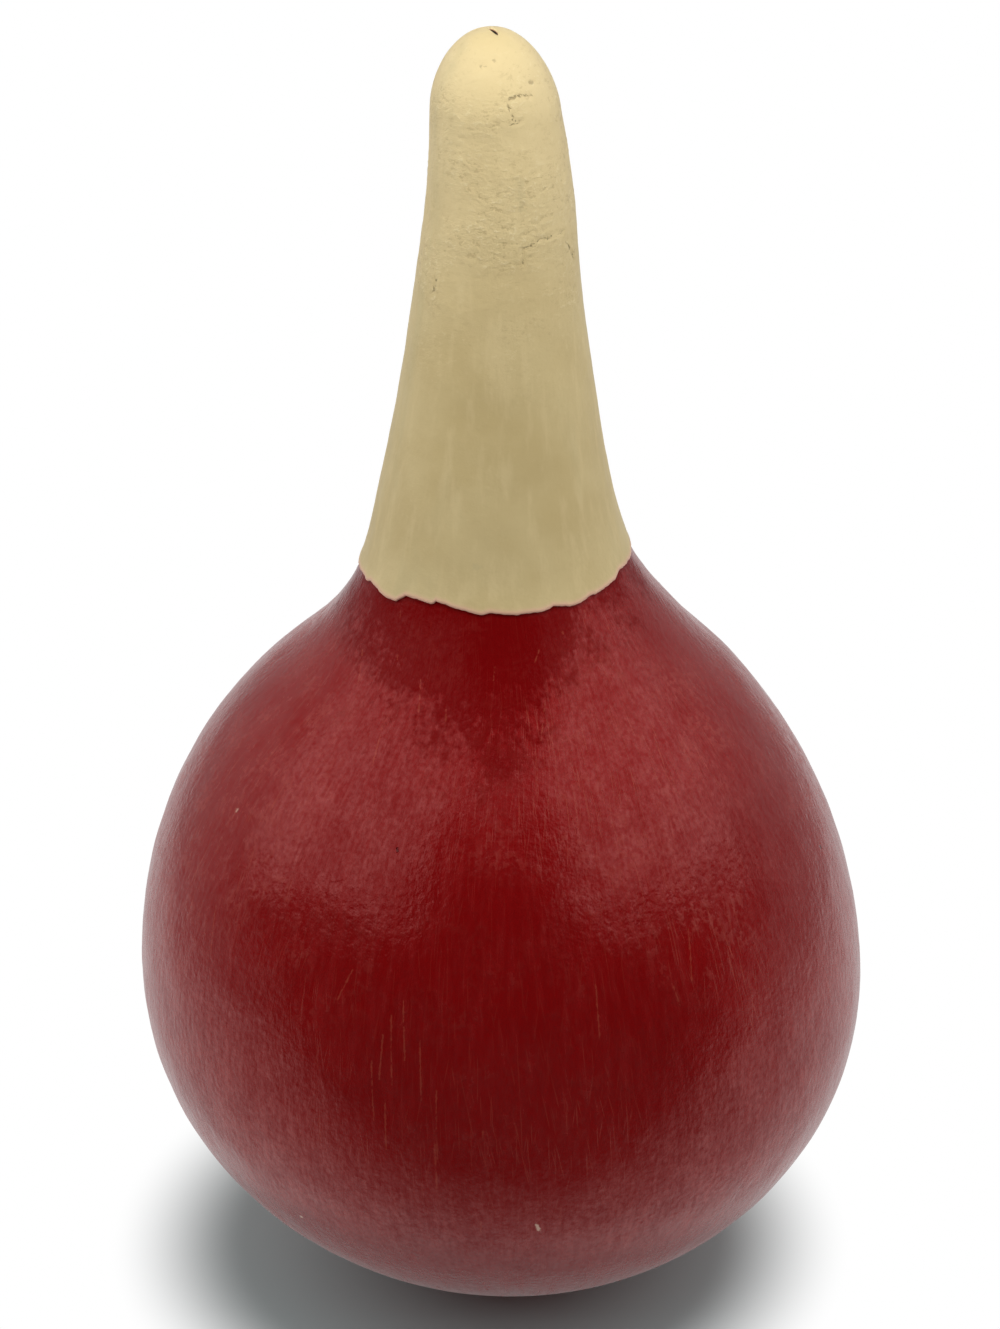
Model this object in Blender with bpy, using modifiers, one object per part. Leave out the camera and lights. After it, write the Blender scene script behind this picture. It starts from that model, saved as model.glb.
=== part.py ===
"""Painted bottle-gourd rattle: a hollow rind, its torn coat of paint, the stem stub and the loose seeds."""

import math
import random

import bmesh
import bpy
import numpy as np
from mathutils import Matrix, Vector

# Bowl of the rind, in metres
BOWL_RADIUS = 0.0750
BOWL_CENTRE_HEIGHT = 0.0656
FOOT_RADIUS = 0.017
CROWN_HEIGHT = 0.0881
CROWN_SLIMNESS = 0.137

# Shoulder between the bowl and the neck
SHOULDER_DROP = 0.0188
SHOULDER_LENGTH = 0.0318

# Neck of the rind
RIND_HEIGHT = 0.2675
TIP_RADIUS = 0.0105
TIP_DOME_HEIGHT = 0.0148
NECK_TAPER = 0.091
NECK_FLARE = 0.00455
FLARE_DEPTH = 0.100
FLARE_POWER = 3.2

# Natural unevenness of the centreline
BOWL_LEAN = 0.0022
BOWL_LEAN_TURN = 0.064
BOWL_LEAN_SPREAD = 0.069
SHOULDER_SWELL = 0.0014
SHOULDER_SWELL_HEIGHT = 0.143
SHOULDER_SWELL_SPREAD = 0.015
NECK_BOW = -0.0004
NECK_BOW_HEIGHT = 0.177
NECK_BOW_SPREAD = 0.0175
GRIP_SWELL = 0.0007
GRIP_SWELL_HEIGHT = 0.236
GRIP_SWELL_SPREAD = 0.014
TIP_LEAN = -0.0009
TIP_LEAN_LENGTH = 0.040

# Wall and stem hole
WALL = 0.005
STEM_HOLE_RADIUS = 0.0034
STEM_CLEARANCE = 0.0003
STEM_TAIL_LENGTH = 0.0085
STEM_TAIL_RADIUS = 0.0022

# Coat of paint
COAT_CLEARANCE = 0.00025
COAT_THICKNESS = 0.00035
COAT_EDGE_HEIGHT = 0.1595
COAT_EDGE_TILT = 0.0015
COAT_EDGE_TOOTH = 0.0006
COAT_PIT_RADIUS = 0.0012

# Loose seeds
SEED_LENGTH = 0.0140
SEED_WIDTH = 0.0068
SEED_THICKNESS = 0.0030
SEED_COUNT = 24
SEED_PATCH_RADIUS = 0.040
SEED_FLOOR_CLEARANCE = 0.0005
SEED_SIDE_CLEARANCE = 0.0008
SEED_SCATTER = 7

# Fineness of the facets
SHELL_STEPS = 40
COAT_STEPS = 60
STEM_STEPS = 20
RING_LENGTH = 0.0112
RING_TURN = math.radians(15)
MERIDIAN_SAMPLES = 1200
SLOPE_STEP = 0.00005


def start_scene():
    for obj in list(bpy.data.objects):
        bpy.data.objects.remove(obj, do_unlink=True)
    parts = bpy.data.collections.new("gourd_rattle")
    cutters = bpy.data.collections.new("cutters")
    bpy.context.scene.collection.children.link(parts)
    bpy.context.scene.collection.children.link(cutters)
    return parts, cutters


def finish_material(name, colour, roughness, coat=0.0):
    material = bpy.data.materials.new(name)
    material.use_nodes = True
    shader = material.node_tree.nodes["Principled BSDF"]
    shader.inputs["Base Color"].default_value = (*colour, 1.0)
    shader.inputs["Roughness"].default_value = roughness
    shader.inputs["Metallic"].default_value = 0.0
    shader.inputs["Coat Weight"].default_value = coat
    material.diffuse_color = (*colour, 1.0)
    return material


def neck_radius(height):
    """A tapered shaft that flares downwards and ends in a dome at the tip."""
    depth = np.maximum(RIND_HEIGHT - height, 0.0)
    rise = 1.0 - np.minimum(depth, TIP_DOME_HEIGHT) / TIP_DOME_HEIGHT
    shaft = TIP_RADIUS + NECK_TAPER * depth + NECK_FLARE * (depth / FLARE_DEPTH) ** FLARE_POWER
    return shaft * np.sqrt(np.clip(1.0 - rise**2, 0.0, 1.0))


def bowl_radius(height):
    """An oval that stops at the flat foot, with a slimmer crown."""
    belly_depth = BOWL_CENTRE_HEIGHT / math.sqrt(1.0 - (FOOT_RADIUS / BOWL_RADIUS) ** 2)
    below = np.clip((BOWL_CENTRE_HEIGHT - height) / belly_depth, 0.0, 1.0)
    above = np.maximum((height - BOWL_CENTRE_HEIGHT) / CROWN_HEIGHT, 0.0)
    slim = 1.0 + CROWN_SLIMNESS * (1.0 - np.minimum(above, 1.0))
    return BOWL_RADIUS * np.sqrt(np.clip(1.0 - below**2 - slim * above**2, 0.0, None))


def slope_at(form, height):
    """Growth of a form's radius with height."""
    return (form(height + SLOPE_STEP) - form(height - SLOPE_STEP)) / (2 * SLOPE_STEP)


def rind_radius(height):
    """Bowl and neck, joined by a cubic shoulder that meets each of them at its own slope."""
    foot = BOWL_CENTRE_HEIGHT + CROWN_HEIGHT - SHOULDER_DROP
    top = foot + SHOULDER_LENGTH
    share = np.clip((height - foot) / SHOULDER_LENGTH, 0.0, 1.0)
    rest = 1.0 - share
    from_bowl = bowl_radius(foot) * (1.0 + 2.0 * share) + slope_at(bowl_radius, foot) * SHOULDER_LENGTH * share
    from_neck = neck_radius(top) * (1.0 + 2.0 * rest) - slope_at(neck_radius, top) * SHOULDER_LENGTH * rest
    shoulder = rest**2 * from_bowl + share**2 * from_neck
    return np.where(height < foot, bowl_radius(height), np.where(height > top, neck_radius(height), shoulder))


def centreline(height):
    """Sideways drift of the grown fruit's axis at a height, from the middle of the foot."""
    above = np.maximum(height - BOWL_LEAN_TURN, 0.0) / BOWL_LEAN_SPREAD
    lean = BOWL_LEAN * ((1.0 - height / BOWL_LEAN_TURN) * np.exp(-(above**2)) - 1.0)
    shoulder = SHOULDER_SWELL * np.exp(-(((height - SHOULDER_SWELL_HEIGHT) / SHOULDER_SWELL_SPREAD) ** 2))
    bow = NECK_BOW * np.exp(-(((height - NECK_BOW_HEIGHT) / NECK_BOW_SPREAD) ** 2))
    grip = GRIP_SWELL * np.exp(-(((height - GRIP_SWELL_HEIGHT) / GRIP_SWELL_SPREAD) ** 2))
    top = np.clip((height - RIND_HEIGHT + TIP_LEAN_LENGTH) / TIP_LEAN_LENGTH, 0.0, 1.0)
    return lean + shoulder + bow + grip + TIP_LEAN * top**2


class Meridian:
    """The rind's outer curve from the tip down to the foot, measured along its length."""

    def __init__(self):
        share = np.linspace(0.0, 1.0, MERIDIAN_SAMPLES)
        self.height = RIND_HEIGHT * (1.0 - share**2)
        self.radius = rind_radius(self.height)
        self.radius[0] = 0.0
        steps = np.hypot(np.diff(self.radius), np.diff(self.height))
        self.arc = np.concatenate([[0.0], np.cumsum(steps)])
        run = np.gradient(self.radius, self.arc)
        fall = np.gradient(self.height, self.arc)
        size = np.hypot(run, fall)
        self.out = -fall / size
        self.up = run / size

    def at(self, arc, offset=0.0):
        """Radius and height at a length from the tip, moved out along the normal."""
        radius = np.interp(arc, self.arc, self.radius) + offset * np.interp(arc, self.arc, self.out)
        height = np.interp(arc, self.arc, self.height) + offset * np.interp(arc, self.arc, self.up)
        return radius, height

    def arc_at_radius(self, radius):
        """Length from the tip to where the tip's dome reaches a radius."""
        dome = self.height > RIND_HEIGHT - TIP_DOME_HEIGHT
        return float(np.interp(radius, self.radius[dome], self.arc[dome]))

    def arc_at_height(self, height):
        return np.interp(-np.asarray(height), -self.height, self.arc)

    def rings(self, first, last):
        """Lengths that put rings closer where the curve bends."""
        inside = (self.arc >= first) & (self.arc <= last)
        arc = np.concatenate([[first], self.arc[inside], [last]])
        slope = np.unwrap(np.arctan2(self.out, self.up))
        bend = np.abs(np.diff(np.interp(arc, self.arc, slope)))
        weight = np.concatenate([[0.0], np.cumsum(np.diff(arc) / RING_LENGTH + bend / RING_TURN)])
        count = max(int(math.ceil(weight[-1])), 3)
        return np.interp(np.linspace(0.0, weight[-1], count + 1), weight, arc)


def turned_mesh(name, profile, steps):
    """Mesh of a profile of (radius, height) points turned about Z by a Screw modifier."""
    mesh = bpy.data.meshes.new(name + "_profile")
    points = [(radius, 0.0, height) for radius, height in profile]
    mesh.from_pydata(points, [(i, i + 1) for i in range(len(points) - 1)], [])
    turned = bpy.data.objects.new(name + "_profile", mesh)
    bpy.context.scene.collection.objects.link(turned)
    screw = turned.modifiers.new("turn", "SCREW")
    screw.axis = "Z"
    screw.steps = steps
    screw.render_steps = steps
    screw.use_merge_vertices = True
    screw.merge_threshold = 0.00005
    screw.use_smooth_shade = True
    graph = bpy.context.evaluated_depsgraph_get()
    result = bpy.data.meshes.new_from_object(turned.evaluated_get(graph))
    result.name = name
    bpy.data.objects.remove(turned, do_unlink=True)
    bpy.data.meshes.remove(mesh)
    return result


def lean_mesh(mesh):
    for vertex in mesh.vertices:
        vertex.co.x += float(centreline(vertex.co.z))


def add_part(parts, name, mesh, material):
    obj = bpy.data.objects.new(name, mesh)
    if not mesh.materials:
        mesh.materials.append(material)
    parts.objects.link(obj)
    return obj


def thicken(obj, thickness, side):
    shell = obj.modifiers.new("wall", "SOLIDIFY")
    shell.thickness = thickness
    shell.offset = side
    shell.use_even_offset = True
    shell.use_rim = True
    return shell


def stem_hole_cutter(cutters):
    """A round pin through the tip, longer than the wall on both sides."""
    shape = bmesh.new()
    bmesh.ops.create_cone(
        shape,
        cap_ends=True,
        segments=STEM_STEPS,
        radius1=STEM_HOLE_RADIUS,
        radius2=STEM_HOLE_RADIUS,
        depth=6 * WALL,
    )
    mesh = bpy.data.meshes.new("stem_hole_cutter")
    shape.to_mesh(mesh)
    shape.free()
    cutter = bpy.data.objects.new("stem_hole_cutter", mesh)
    cutter.location = (float(centreline(RIND_HEIGHT)), 0.0, RIND_HEIGHT)
    cutter.hide_render = True
    cutter.display_type = "WIRE"
    cutters.objects.link(cutter)
    return cutter


def make_shell(parts, cutters, meridian, material):
    """The whole rind, bowl and neck in one, open only at the stem hole."""
    arcs = meridian.rings(0.0, meridian.arc[-1])
    profile = list(zip(*meridian.at(arcs)))
    profile.append((FOOT_RADIUS / 2, 0.0))
    profile.append((0.0, 0.0))
    mesh = turned_mesh("gourd_shell", profile, SHELL_STEPS)
    lean_mesh(mesh)
    shell = add_part(parts, "gourd_shell", mesh, material)
    thicken(shell, WALL, -1.0)
    bore = shell.modifiers.new("stem_hole", "BOOLEAN")
    bore.operation = "DIFFERENCE"
    bore.solver = "EXACT"
    bore.object = stem_hole_cutter(cutters)
    return shell


def torn_edge_height(angle):
    """Height of the coat's lower edge round the neck, uneven where the paint has torn."""
    tilt = COAT_EDGE_TILT * math.cos(angle)
    slow = math.sin(5 * angle + 0.6) + 0.7 * math.sin(8 * angle + 2.1)
    quick = 0.6 * math.sin(17 * angle + 1.3) + 0.4 * math.sin(27 * angle + 0.4)
    return COAT_EDGE_HEIGHT + tilt + COAT_EDGE_TOOTH * (0.5 * slow + 0.5 * quick)


def make_coat(parts, meridian, material):
    """The film of paint over the neck, pierced at the stem scar, each meridian run down to the torn edge."""
    top = meridian.arc_at_radius(COAT_PIT_RADIUS)
    level_edge = float(meridian.arc_at_height(COAT_EDGE_HEIGHT))
    arcs = meridian.rings(top, level_edge)
    profile = list(zip(*meridian.at(arcs, COAT_CLEARANCE)))
    mesh = turned_mesh("neck_paint_coat", profile, COAT_STEPS)
    level_heights = np.array([height for radius, height in profile])
    for vertex in mesh.vertices:
        angle = math.atan2(vertex.co.y, vertex.co.x)
        edge = float(meridian.arc_at_height(torn_edge_height(angle)))
        level = float(np.interp(-vertex.co.z, -level_heights, arcs))
        share = (level - top) / (level_edge - top)
        radius, height = meridian.at(top + share * (edge - top), COAT_CLEARANCE)
        vertex.co = (radius * math.cos(angle), radius * math.sin(angle), height)
    lean_mesh(mesh)
    coat = add_part(parts, "neck_paint_coat", mesh, material)
    thicken(coat, COAT_THICKNESS, 1.0)
    return coat


def make_stem(parts, meridian, material):
    """The dried stub of the stem, flush with the tip and plugging the stem hole."""
    radius = STEM_HOLE_RADIUS - STEM_CLEARANCE
    edge = meridian.arc_at_radius(radius)
    profile = [(0.0, RIND_HEIGHT)]
    for share in (0.35, 0.7, 1.0):
        profile.append(tuple(float(value) for value in meridian.at(share * edge)))
    foot = RIND_HEIGHT - STEM_TAIL_LENGTH
    profile.append((radius, profile[-1][1] - WALL / 2))
    profile.append((STEM_TAIL_RADIUS, foot + STEM_TAIL_RADIUS / 2))
    profile.append((STEM_TAIL_RADIUS * 0.6, foot))
    profile.append((0.0, foot))
    mesh = turned_mesh("stem_stub", profile, STEM_STEPS)
    for vertex in mesh.vertices:
        vertex.co.x += float(centreline(RIND_HEIGHT))
    return add_part(parts, "stem_stub", mesh, material)


def seed_mesh(material):
    """One flat seed, widest near its squared end, narrower at its germ end."""
    shape = bmesh.new()
    bmesh.ops.create_uvsphere(shape, u_segments=10, v_segments=7, radius=1.0)
    bmesh.ops.rotate(shape, verts=shape.verts, matrix=Matrix.Rotation(math.pi / 2, 3, "Y"))
    for vertex in shape.verts:
        along, across, thick = vertex.co
        blunt = math.copysign(abs(along) ** 0.8, along)
        spread = 1.0 + 0.22 * blunt
        vertex.co.x = blunt * SEED_LENGTH / 2
        vertex.co.y = across * spread * SEED_WIDTH / 2
        vertex.co.z = math.copysign(abs(thick) ** 1.2, thick) * SEED_THICKNESS / 2
    mesh = bpy.data.meshes.new("gourd_seed")
    shape.to_mesh(mesh)
    shape.free()
    mesh.materials.append(material)
    for face in mesh.polygons:
        face.use_smooth = True
    return mesh


def inner_floor(meridian):
    """Radii and heights of the hollow's floor, from the axis outwards."""
    low = meridian.height < BOWL_CENTRE_HEIGHT
    radius, height = meridian.at(meridian.arc[low], -WALL)
    order = np.argsort(radius)
    return np.concatenate([[0.0], radius[order]]), np.concatenate([[WALL], height[order]])


def plan_points(place, turn, margin):
    """Outline of a seed's footprint, grown by a margin."""
    points = []
    for step in range(24):
        angle = 2 * math.pi * step / 24
        along = (SEED_LENGTH / 2 + margin) * math.cos(angle)
        across = (SEED_WIDTH * 0.61 + margin) * math.sin(angle)
        x = place[0] + along * math.cos(turn) - across * math.sin(turn)
        y = place[1] + along * math.sin(turn) + across * math.cos(turn)
        points.append((x, y))
    return points


def covers(place, turn, margin, point):
    x = point[0] - place[0]
    y = point[1] - place[1]
    along = x * math.cos(turn) + y * math.sin(turn)
    across = y * math.cos(turn) - x * math.sin(turn)
    return (along / (SEED_LENGTH / 2 + margin)) ** 2 + (across / (SEED_WIDTH * 0.61 + margin)) ** 2 < 1.0


def clear_of(place, turn, others):
    margin = SEED_SIDE_CLEARANCE / 2
    outline = plan_points(place, turn, margin)
    for other_place, other_turn in others:
        if any(covers(other_place, other_turn, margin, point) for point in outline):
            return False
        other_outline = plan_points(other_place, other_turn, margin)
        if any(covers(place, turn, margin, point) for point in other_outline):
            return False
    return True


def scatter_seeds():
    """Places and turns for the seeds, each footprint clear of the others."""
    chance = random.Random(SEED_SCATTER)
    laid = []
    while len(laid) < SEED_COUNT:
        reach = SEED_PATCH_RADIUS * math.sqrt(chance.random())
        bearing = chance.uniform(0.0, 2 * math.pi)
        place = (reach * math.cos(bearing), reach * math.sin(bearing))
        turn = chance.uniform(0.0, 2 * math.pi)
        if clear_of(place, turn, laid):
            laid.append((place, turn))
    return laid


def make_seeds(parts, meridian, material):
    """Loose seeds lying on the floor of the bowl, each tipped to the slope under it."""
    mesh = seed_mesh(material)
    floor_radius, floor_height = inner_floor(meridian)
    slope = np.gradient(floor_height, floor_radius + np.arange(len(floor_radius)) * 1e-9)
    for number, (place, turn) in enumerate(scatter_seeds(), start=1):
        seed = add_part(parts, f"seed_{number:02d}", mesh, material)
        reach = math.hypot(*place)
        tip = math.atan(float(np.interp(reach, floor_radius, slope)))
        bearing = math.atan2(place[1], place[0])
        lie = Matrix.Rotation(bearing, 4, "Z") @ Matrix.Rotation(-tip, 4, "Y")
        lie = lie @ Matrix.Rotation(turn - bearing, 4, "Z")
        lift = -1.0
        for vertex in mesh.vertices:
            point = lie @ vertex.co + Vector((*place, 0.0))
            under = float(np.interp(math.hypot(point.x, point.y), floor_radius, floor_height))
            lift = max(lift, under - point.z)
        drift = float(centreline(lift))
        seed.matrix_world = Matrix.Translation((place[0] + drift, place[1], lift + SEED_FLOOR_CLEARANCE)) @ lie


def main():
    parts, cutters = start_scene()
    meridian = Meridian()
    make_shell(parts, cutters, meridian, finish_material("red_lacquer", (0.27, 0.012, 0.016), 0.28, 0.3))
    make_coat(parts, meridian, finish_material("cream_paint", (0.78, 0.70, 0.52), 0.42))
    make_stem(parts, meridian, finish_material("dry_stem", (0.09, 0.055, 0.035), 0.85))
    make_seeds(parts, meridian, finish_material("dry_seed", (0.52, 0.40, 0.25), 0.6))


main()
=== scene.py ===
"""Painted bottle-gourd rattle on a pale studio floor: fine form, finishes, light and camera."""

import math

import bpy
import numpy as np
from mathutils import Matrix, Vector


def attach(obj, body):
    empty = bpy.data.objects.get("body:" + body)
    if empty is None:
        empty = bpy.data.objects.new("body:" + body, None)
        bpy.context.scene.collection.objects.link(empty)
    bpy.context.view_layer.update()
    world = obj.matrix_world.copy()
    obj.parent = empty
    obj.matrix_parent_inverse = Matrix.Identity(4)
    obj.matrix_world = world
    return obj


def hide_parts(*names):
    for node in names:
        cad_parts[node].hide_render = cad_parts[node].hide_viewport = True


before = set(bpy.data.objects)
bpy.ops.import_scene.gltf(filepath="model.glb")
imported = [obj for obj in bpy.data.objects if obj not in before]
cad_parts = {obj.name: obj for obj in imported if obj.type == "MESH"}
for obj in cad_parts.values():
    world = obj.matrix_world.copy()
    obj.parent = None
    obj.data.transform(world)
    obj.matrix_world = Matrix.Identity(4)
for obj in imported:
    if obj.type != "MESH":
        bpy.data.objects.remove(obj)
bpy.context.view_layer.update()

# Form of the rind, in metres, as the solids have it
BOWL_RADIUS = 0.0750
BOWL_CENTRE_HEIGHT = 0.0656
FOOT_RADIUS = 0.017
CROWN_HEIGHT = 0.0881
CROWN_SLIMNESS = 0.137
SHOULDER_DROP = 0.0188
SHOULDER_LENGTH = 0.0318
RIND_HEIGHT = 0.2675
TIP_RADIUS = 0.0105
TIP_DOME_HEIGHT = 0.0148
NECK_TAPER = 0.091
NECK_FLARE = 0.00455
FLARE_DEPTH = 0.100
FLARE_POWER = 3.2
WALL = 0.005
STEM_HOLE_RADIUS = 0.0034
SLOPE_STEP = 0.00005

# Natural unevenness of the centreline
BOWL_LEAN = 0.0022
BOWL_LEAN_TURN = 0.064
BOWL_LEAN_SPREAD = 0.069
SHOULDER_SWELL = 0.0014
SHOULDER_SWELL_HEIGHT = 0.143
SHOULDER_SWELL_SPREAD = 0.015
NECK_BOW = -0.0004
NECK_BOW_HEIGHT = 0.177
NECK_BOW_SPREAD = 0.0175
GRIP_SWELL = 0.0007
GRIP_SWELL_HEIGHT = 0.236
GRIP_SWELL_SPREAD = 0.014
TIP_LEAN = -0.0009
TIP_LEAN_LENGTH = 0.040

# Rings of the rind's mesh, closer on the outer wall, and the ripple of its skin
OUTER_RING_LENGTH = 0.0024
OUTER_RING_TURN = math.radians(2.6)
INNER_RING_LENGTH = 0.018
INNER_RING_TURN = math.radians(10.0)
SEAM_DISTANCE = 0.000005
RIPPLE_START = 0.02
RIPPLE_CEILING = 0.74

# Film of paint over the neck, its rounded torn edge and its damage
COAT_THICKNESS = 0.0006
COAT_UNDERSIDE = 0.00004
COAT_COLUMNS = 400
COAT_ROWS = 225
COAT_UNDER_ROWS = 14
COAT_ROW_CROWDING = 0.09
BEAD_HEIGHT = 0.00008
BEAD_PLACE = 0.0003
BEAD_WIDTH = 0.0004
FEATHER_SHARE = 0.28
FEATHER_LENGTH = 0.0012
LIP_REACH = (0.00007, 0.00013, 0.00011)
LIP_LEVELS = (0.58, 0.28, 0.07)
TORN_RIM_STRENGTH = 0.95
TORN_RIM_WIDTH = 0.00065
CRACK_DEPTH = 0.00011
CRACK_WIDTH = 0.0003
CURL_HEIGHT = 0.00004
CURL_PLACE = 0.0010
CURL_WIDTH = 0.0006
SPECK_DEPTH = 0.00022
SPECK_WIDTH = 0.0008
DOT_LENGTH = 0.0001

# Opening in the film over the stem
SCAR_HALF_LENGTH = 0.0015
SCAR_HALF_WIDTH = 0.00042
SCAR_SHIFT = 0.0011
SCAR_BEARING = math.radians(-60)
SCAR_SINK_SHARE = 0.45
SCAR_SINK_WIDTH = 0.0025

# Lumps and wrinkles of the film, which start away from its edges
LUMP_EDGE_GAP = 0.0025
LUMP_SCAR_GAP = 0.004
LUMP_CEILING = 0.66
WRINKLE_HEIGHT = 0.237
WRINKLE_SPREAD = 0.017
WRINKLE_FINENESS = (190.0, 190.0, 520.0)

# Torn lower edge of the paint: bearing from the front in degrees, then height in millimetres
TORN_EDGE = (
    (-88, 157.8), (-76, 158.5), (-70, 158.2), (-67, 158.9), (-53.5, 158.1), (-47, 158.2), (-42.5, 160.0),
    (-28, 160.0), (-27.3, 160.6), (-15.5, 159.8), (-8, 159.1), (-3.6, 159.6), (3, 159.2), (17.6, 159.2),
    (23.5, 159.8), (30.5, 159.2), (37, 159.2), (41, 159.8), (49, 159.8), (60, 160.4), (64, 161.1),
    (78, 160.7), (100, 161.3), (118, 160.6), (131, 161.0), (150, 160.2), (166, 160.5), (185, 159.4),
    (203, 159.7), (221, 158.6), (240, 159.0), (255, 158.1),
)
EDGE_CRUMBLE = 0.00012
MM_PER_METRE = 1000

# Colours of the lacquer and its marks
DARK_RED = (0.238, 0.0025, 0.0032)
CLEAR_RED = (0.282, 0.0038, 0.0044)
RUBBED_RED = (0.325, 0.0100, 0.0100)
# Painted shade: the darker red of the patch below the neck
NECK_SHADE_RED = (0.200, 0.0023, 0.0030)
HAIRLINE_RED = (0.46, 0.078, 0.050)
SCUFF_RED = (0.40, 0.054, 0.040)
SCRATCH_RED = (0.50, 0.105, 0.058)
FLECK_TONE = (0.78, 0.52, 0.40)
PIT_TONE = (0.050, 0.002, 0.002)
LACQUER_GLOSS = (1.0, 0.36, 0.34)

# Patch of lacquer below the neck with painted shade, a darker red and less sheen, where fewer scratches and
# scuffs fall: its lower end, which rises by slope and shift to each side
SHADE_PATCH_END = (0.164, 0.180)
SHADE_PATCH_LEFT_RISE = (-0.60, -0.0075)
SHADE_PATCH_RIGHT_RISE = (2.4, -0.0125)
SHADE_PATCH_MOST_RISE = 0.019
SHADE_PATCH_BLOTCHES = 0.040
SHADE_PATCH_GRIT = 0.030

# Sets of fine scratches: fineness round the fruit and along it, slant, and the noise where they start
HAIRLINES = ((230.0, 85.0, 0.0, 0.64), (190.0, 95.0, 2.2, 0.67), (200.0, 90.0, -2.6, 0.67))
HAIRLINE_SOFTNESS = 0.07

# Colours of the paint and its marks
DULL_CREAM = (0.655, 0.508, 0.238)
CLEAR_CREAM = (0.718, 0.570, 0.283)
# Painted light: paler cream toward the tip, where more light falls
TOP_LIGHT_CREAM = (0.86, 0.69, 0.37)
STREAK_CREAM = (0.83, 0.67, 0.36)
STAINED_CREAM = (0.56, 0.475, 0.245)
# Painted highlight on raised bumps, and painted shade in the hollows between them
BUMP_HIGHLIGHT_TONE = (0.92, 0.78, 0.47)
HOLLOW_SHADE_TONE = (0.50, 0.36, 0.16)
CRACK_TONE = (0.26, 0.17, 0.07)
SPECK_TONE = (0.30, 0.20, 0.09)
STAIN_TONE = (0.32, 0.31, 0.20)
# Torn rim: pink where the red shows through the thin edge, and paler as a painted highlight along the edge
TORN_RIM_TINT_AND_HIGHLIGHT = (0.90, 0.52, 0.385)

# Dark and pale fibres of stem and seeds
STEM_TONES = ((0.022, 0.014, 0.010), (0.075, 0.046, 0.028))
SEED_TONES = ((0.36, 0.25, 0.14), (0.58, 0.45, 0.29))

# Camera
CAMERA_PLACE = (-0.0022, -0.7189, 0.5010)
CAMERA_PITCH = math.radians(63.0)
CAMERA_ROLL = math.radians(-0.4)
CAMERA_LENS = 108.35
CAMERA_SENSOR = 36.0

# Light panels: the right one of a pair, and a small one above
LIGHT_AIM = (0.0, 0.0, 0.12)
PANEL_DIRECTION = (0.704, -0.232, 0.671)
PANEL_RUN = (0.98, 1.0, 0.0)
PANEL_SIZE = (0.88, 0.71)
PANEL_POWER = 2.06
PANEL_DISTANCE = 0.70
TOP_DIRECTION = (0.0, -0.336, 0.942)
TOP_RUN = (1.0, 0.0, 0.0)
TOP_SIZE = (0.08, 0.08)
TOP_POWER = 0.195
TOP_DISTANCE = 0.30

# Studio round the fruit: limits of directions to the back and up, and brightness
SWEEP_BACK = (-0.12, 0.45)
SWEEP_UP = (0.30, 0.70)
SWEEP_GLOW = (0.006, 0.46)
OVERHEAD_DIRECTION = (0.0, -0.5, 0.866)
OVERHEAD_LIMITS = (0.957, 0.99)
OVERHEAD_GLOW = 0.32
FILL_BACK = (-0.30, 0.60)
FILL_UP = (0.15, 0.55)
BACK_FILL = 2.0
ROOM_FILL = 0.09

# Floor, its contact shadow, and how it is mirrored in gloss
FLOOR_REACH = 6.0
FLOOR_TONE = 0.80
FLOOR_FILL = 0.46
SHADOW_TONE = 0.57
SHADOW_RED_SHARE = 0.82
SHADOW_MIDDLE = (-0.0074, -0.006, 0.0)
SHADOW_FADE = (0.050, 0.080)
MIRRORED_BACK = (-0.165, -0.040)
MIRRORED_GLOW = (0.03, 0.86)
MIRRORED_SWEEP = 0.20
MIRRORED_SIDE = (0.22, 0.45)
MIRRORED_SIDE_SHARE = (1.0, 0.45)
MIRRORED_NEAR_SHARE = 0.25

# Sockets of a Mix node for colours
MIX_SHARE, MIX_FIRST, MIX_SECOND = 0, 6, 7
MIX_RESULT = 2


# Shape of the grown fruit

def neck_radius(height):
    depth = np.maximum(RIND_HEIGHT - height, 0.0)
    rise = 1.0 - np.minimum(depth, TIP_DOME_HEIGHT) / TIP_DOME_HEIGHT
    shaft = TIP_RADIUS + NECK_TAPER * depth + NECK_FLARE * (depth / FLARE_DEPTH) ** FLARE_POWER
    return shaft * np.sqrt(np.clip(1.0 - rise**2, 0.0, 1.0))


def bowl_radius(height):
    belly_depth = BOWL_CENTRE_HEIGHT / math.sqrt(1.0 - (FOOT_RADIUS / BOWL_RADIUS) ** 2)
    below = np.clip((BOWL_CENTRE_HEIGHT - height) / belly_depth, 0.0, 1.0)
    above = np.maximum((height - BOWL_CENTRE_HEIGHT) / CROWN_HEIGHT, 0.0)
    slim = 1.0 + CROWN_SLIMNESS * (1.0 - np.minimum(above, 1.0))
    return BOWL_RADIUS * np.sqrt(np.clip(1.0 - below**2 - slim * above**2, 0.0, None))


def slope_at(form, height):
    """Growth of a form's radius with height."""
    return (form(height + SLOPE_STEP) - form(height - SLOPE_STEP)) / (2 * SLOPE_STEP)


def rind_radius(height):
    """Bowl and neck, joined by a cubic shoulder that meets each of them at its own slope."""
    foot = BOWL_CENTRE_HEIGHT + CROWN_HEIGHT - SHOULDER_DROP
    top = foot + SHOULDER_LENGTH
    share = np.clip((height - foot) / SHOULDER_LENGTH, 0.0, 1.0)
    rest = 1.0 - share
    bowl_growth = slope_at(bowl_radius, foot) * SHOULDER_LENGTH
    neck_growth = slope_at(neck_radius, top) * SHOULDER_LENGTH
    from_bowl = bowl_radius(foot) * (1.0 + 2.0 * share) + bowl_growth * share
    from_neck = neck_radius(top) * (1.0 + 2.0 * rest) - neck_growth * rest
    shoulder = rest**2 * from_bowl + share**2 * from_neck
    upper = np.where(height > top, neck_radius(height), shoulder)
    return np.where(height < foot, bowl_radius(height), upper)


def swell(place, middle, spread):
    """Bell-shaped rise to 1 round a middle."""
    return np.exp(-(((place - middle) / spread) ** 2))


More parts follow.
